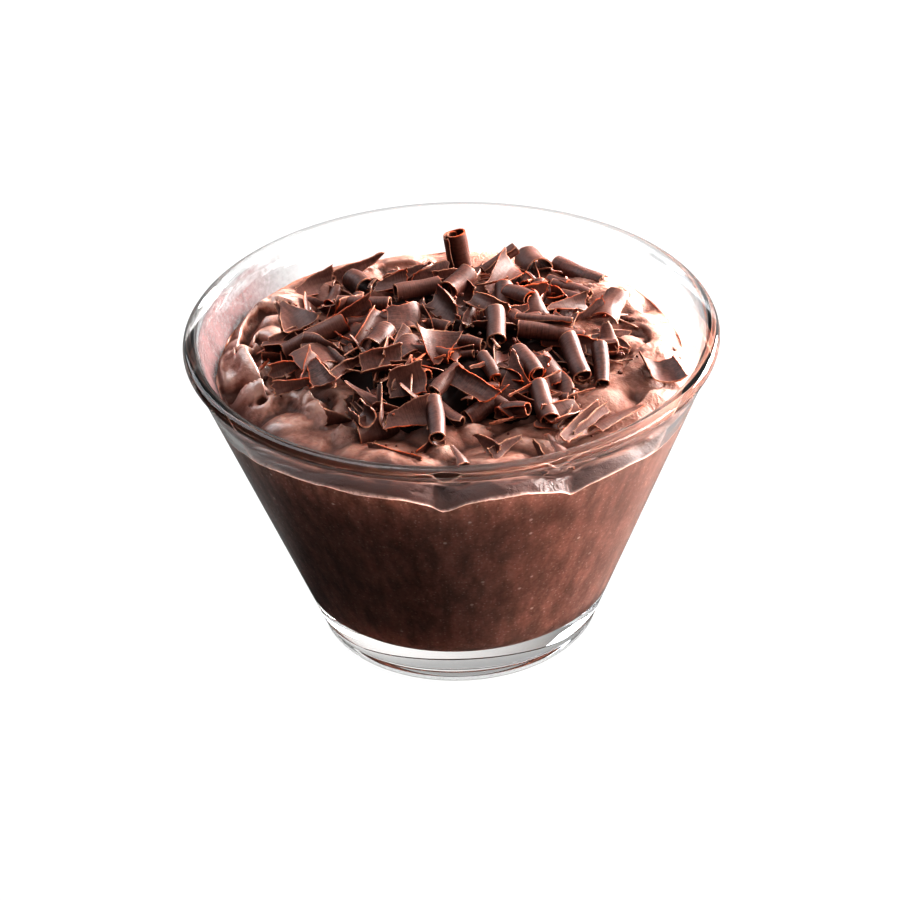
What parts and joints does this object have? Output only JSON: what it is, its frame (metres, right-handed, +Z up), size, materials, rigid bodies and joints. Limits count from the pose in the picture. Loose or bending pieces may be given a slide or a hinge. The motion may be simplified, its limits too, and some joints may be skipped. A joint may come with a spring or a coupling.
{
  "type": "chocolate mousse in a glass cup",
  "caption": "Conical glass cup filled with chocolate mousse, its top worked into soft dollops under a loose heap of chocolate curls and flakes.",
  "frame": {"origin": "centre of the cup's foot, on the surface that it stands on", "axes": "+Z up along the cup's axis; +X to the right and +Y away from the viewer of the shown side"},
  "size_m": [0.112, 0.112, 0.0746],
  "materials": {
    "clear_glass": "clear pressed glass, thick at the foot, with a rounded lip",
    "mousse": "aerated chocolate mousse, satin, soft folds and fine bubbles",
    "dark_chocolate": "shaved dark chocolate, semi-gloss outer faces, ragged lighter edges"
  },
  "bodies": {
    "root": {"glass_cup": "clear_glass", "mousse": "mousse", "curl_heap": "dark_chocolate", "upright_curl": "dark_chocolate", "quill_curl": "dark_chocolate", "broad_curl": "dark_chocolate", "arched_flake": "dark_chocolate", "right_flake": "dark_chocolate", "left_flake": "dark_chocolate", "back_left_flake": "dark_chocolate", "front_strip": "dark_chocolate", "right_dark_flake": "dark_chocolate"}
  },
  "joints": []
}
